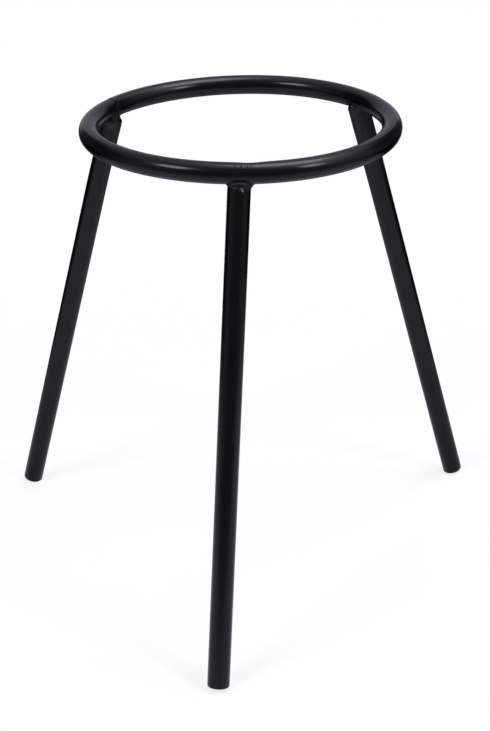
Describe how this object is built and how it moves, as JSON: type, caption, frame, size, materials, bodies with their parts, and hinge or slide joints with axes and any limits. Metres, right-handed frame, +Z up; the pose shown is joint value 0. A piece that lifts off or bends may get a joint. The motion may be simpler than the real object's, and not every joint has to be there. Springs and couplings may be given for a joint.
{
  "type": "lab tripod stand",
  "caption": "Welded rod tripod: a round ring on splayed, square-sawn legs that carries a flask, dish or wire gauze over a small burner.",
  "frame": {"origin": "on the ring's axis, in the plane that the three feet stand on", "axes": "+Z up along the ring's axis; the front leg stands towards -Y, and the other two towards +X and -X"},
  "size_m": [0.1468, 0.127, 0.135],
  "materials": {
    "black_paint": "black semi-gloss paint over drawn steel rod",
    "painted_weld": "black semi-gloss paint over rippled weld metal"
  },
  "bodies": {
    "root": {"ring": "black_paint", "front_leg": "black_paint", "right_leg": "black_paint", "left_leg": "black_paint", "front_weld": "painted_weld", "right_weld": "painted_weld", "left_weld": "painted_weld"}
  },
  "joints": []
}
